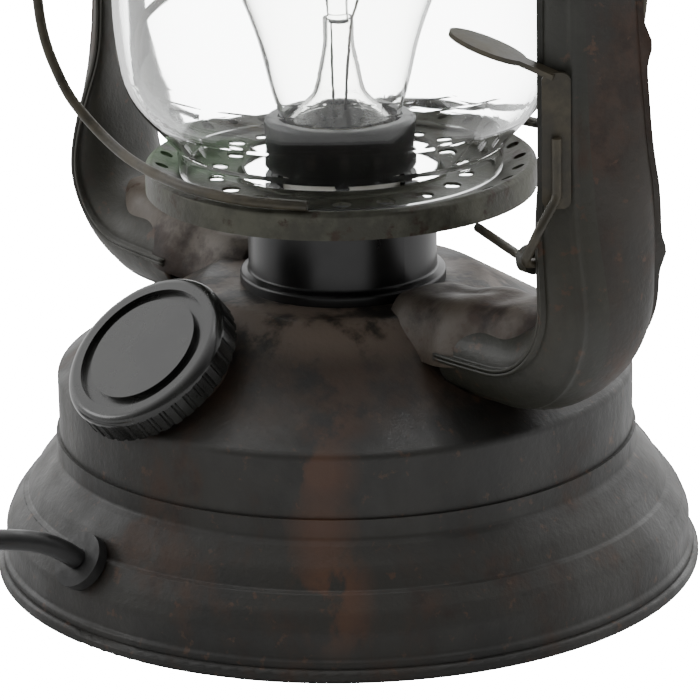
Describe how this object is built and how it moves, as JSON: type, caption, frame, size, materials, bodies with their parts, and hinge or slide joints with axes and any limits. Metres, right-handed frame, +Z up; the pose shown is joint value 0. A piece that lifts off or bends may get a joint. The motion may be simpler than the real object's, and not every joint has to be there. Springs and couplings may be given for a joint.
{
  "type": "hurricane lantern lamp",
  "caption": "Old tubular hurricane lantern converted to an electric table lamp, with clear globe, bulb, lift lever, bail, mains cord and plug.",
  "frame": {"origin": "on the lantern's own vertical axis, on the flat underside of its rolled foot", "axes": "+Z up; the side tubes stand at +X and -X; the filler cap and the cord face -Y"},
  "size_m": [0.2722, 0.2589, 0.3453],
  "materials": {
    "worn_dark_paint": "worn, rusting",
    "bare_steel": "dull",
    "rusty_wire": "rusty",
    "oxidised_plate": "patina",
    "black_cap": "gloss",
    "rubber": "matte",
    "black_plastic": "gloss",
    "porcelain": "satin",
    "brass": "satin",
    "bulb_cap_metal": "satin",
    "clear_glass": "clear",
    "black_glass": "gloss",
    "tungsten": "satin",
    "cord_black": "satin"
  },
  "bodies": {
    "lantern": {"air_chamber": "worn_dark_paint", "centre_contact": "brass", "chimney_spring": "bare_steel", "cord": "cord_black", "cord_coil": "cord_black", "cord_gland": "rubber", "cord_tail": "cord_black", "filler_neck": "worn_dark_paint", "fount_floor": "bare_steel", "fount_shell": "worn_dark_paint", "fount_skirt": "worn_dark_paint", "holder_base": "black_plastic", "holder_core": "porcelain", "holder_skirt": "black_plastic", "inner_flex": "cord_black", "left_bail_ear": "worn_dark_paint", "left_tube_inner": "worn_dark_paint", "left_tube_outer": "worn_dark_paint", "lever_bracket": "worn_dark_paint", "nipple_nuts": "bare_steel", "plug_body": "cord_black", "plug_boot": "cord_black", "plug_pins": "brass", "right_bail_ear": "worn_dark_paint", "right_tube_inner": "worn_dark_paint", "right_tube_outer": "worn_dark_paint", "screw_shell": "brass", "terminal_screws": "bare_steel", "threaded_nipple": "brass"},
    "filler_gasket": {"filler_gasket": "rubber"},
    "filler_cap": {"filler_cap": "black_cap"},
    "bulb_seat": {"bulb_insulator": "black_glass"},
    "bulb": {"bulb_glass": "clear_glass", "bulb_cap": "bulb_cap_metal", "bulb_contact": "brass", "bulb_stem": "clear_glass", "bulb_filament": "tungsten"},
    "globe_carriage": {"globe_plate": "oxidised_plate", "globe": "clear_glass", "guard_wire_front": "rusty_wire", "guard_wire_back": "rusty_wire", "guard_wire_side": "rusty_wire", "guard_ring": "rusty_wire"},
    "lift_lever": {"lift_lever": "rusty_wire", "thumb_piece": "rusty_wire"},
    "chimney": {"flue": "bare_steel", "draught_band": "worn_dark_paint", "chimney_cap": "worn_dark_paint", "lift_ring": "rusty_wire"},
    "globe_holder": {"globe_holder": "worn_dark_paint"},
    "bail": {"bail": "rusty_wire"}
  },
  "joints": [
    {"name": "lift_lever_turn", "type": "hinge", "parent": "lantern", "child": "lift_lever", "pos_m": [0.078, -0.01, 0.0937], "axis": [1, 0, 0], "range_deg": [0, 45]},
    {"name": "globe_lift", "type": "slide", "parent": "lantern", "child": "globe_carriage", "axis": [0, 0, 1], "range_m": [0, 0.0113]},
    {"name": "chimney_lift", "type": "slide", "parent": "lantern", "child": "chimney", "axis": [0, 0, 1], "range_m": [0, 0.012], "stiffness_N_per_m": 250, "springref_m": -0.012, "deforming": ["chimney_spring"]},
    {"name": "holder_lift", "type": "slide", "parent": "chimney", "child": "globe_holder", "axis": [0, 0, 1], "range_m": [0, 0.0114]},
    {"name": "bail_swing", "type": "hinge", "parent": "lantern", "child": "bail", "pos_m": [0, 0, 0.25], "axis": [1, 0, 0], "range_deg": [0, 294]},
    {"name": "filler_cap_turn", "type": "hinge", "parent": "filler_gasket", "child": "filler_cap", "pos_m": [0, -0.061, 0.066], "axis": [0, -0.6428, 0.766], "range_deg": [0, 720]},
    {"name": "filler_cap_rise", "type": "slide", "parent": "lantern", "child": "filler_gasket", "axis": [0, -0.6428, 0.766], "range_m": [0, 0.00599]},
    {"name": "bulb_turn", "type": "hinge", "parent": "bulb_seat", "child": "bulb", "pos_m": [0, 0, 0.1], "axis": [0, 0, 1], "range_deg": [0, 1080]},
    {"name": "bulb_rise", "type": "slide", "parent": "lantern", "child": "bulb_seat", "axis": [0, 0, 1], "range_m": [0, 0.01077]}
  ],
  "couplings": [
    {"joint": "lift_lever_turn", "follows": "globe_lift", "rad_per_m": 69.493},
    {"joint": "holder_lift", "follows": "globe_lift", "ratio": 1},
    {"joint": "filler_cap_turn", "follows": "filler_cap_rise", "rad_per_m": 2094.4},
    {"joint": "bulb_turn", "follows": "bulb_rise", "rad_per_m": 1748.9}
  ]
}
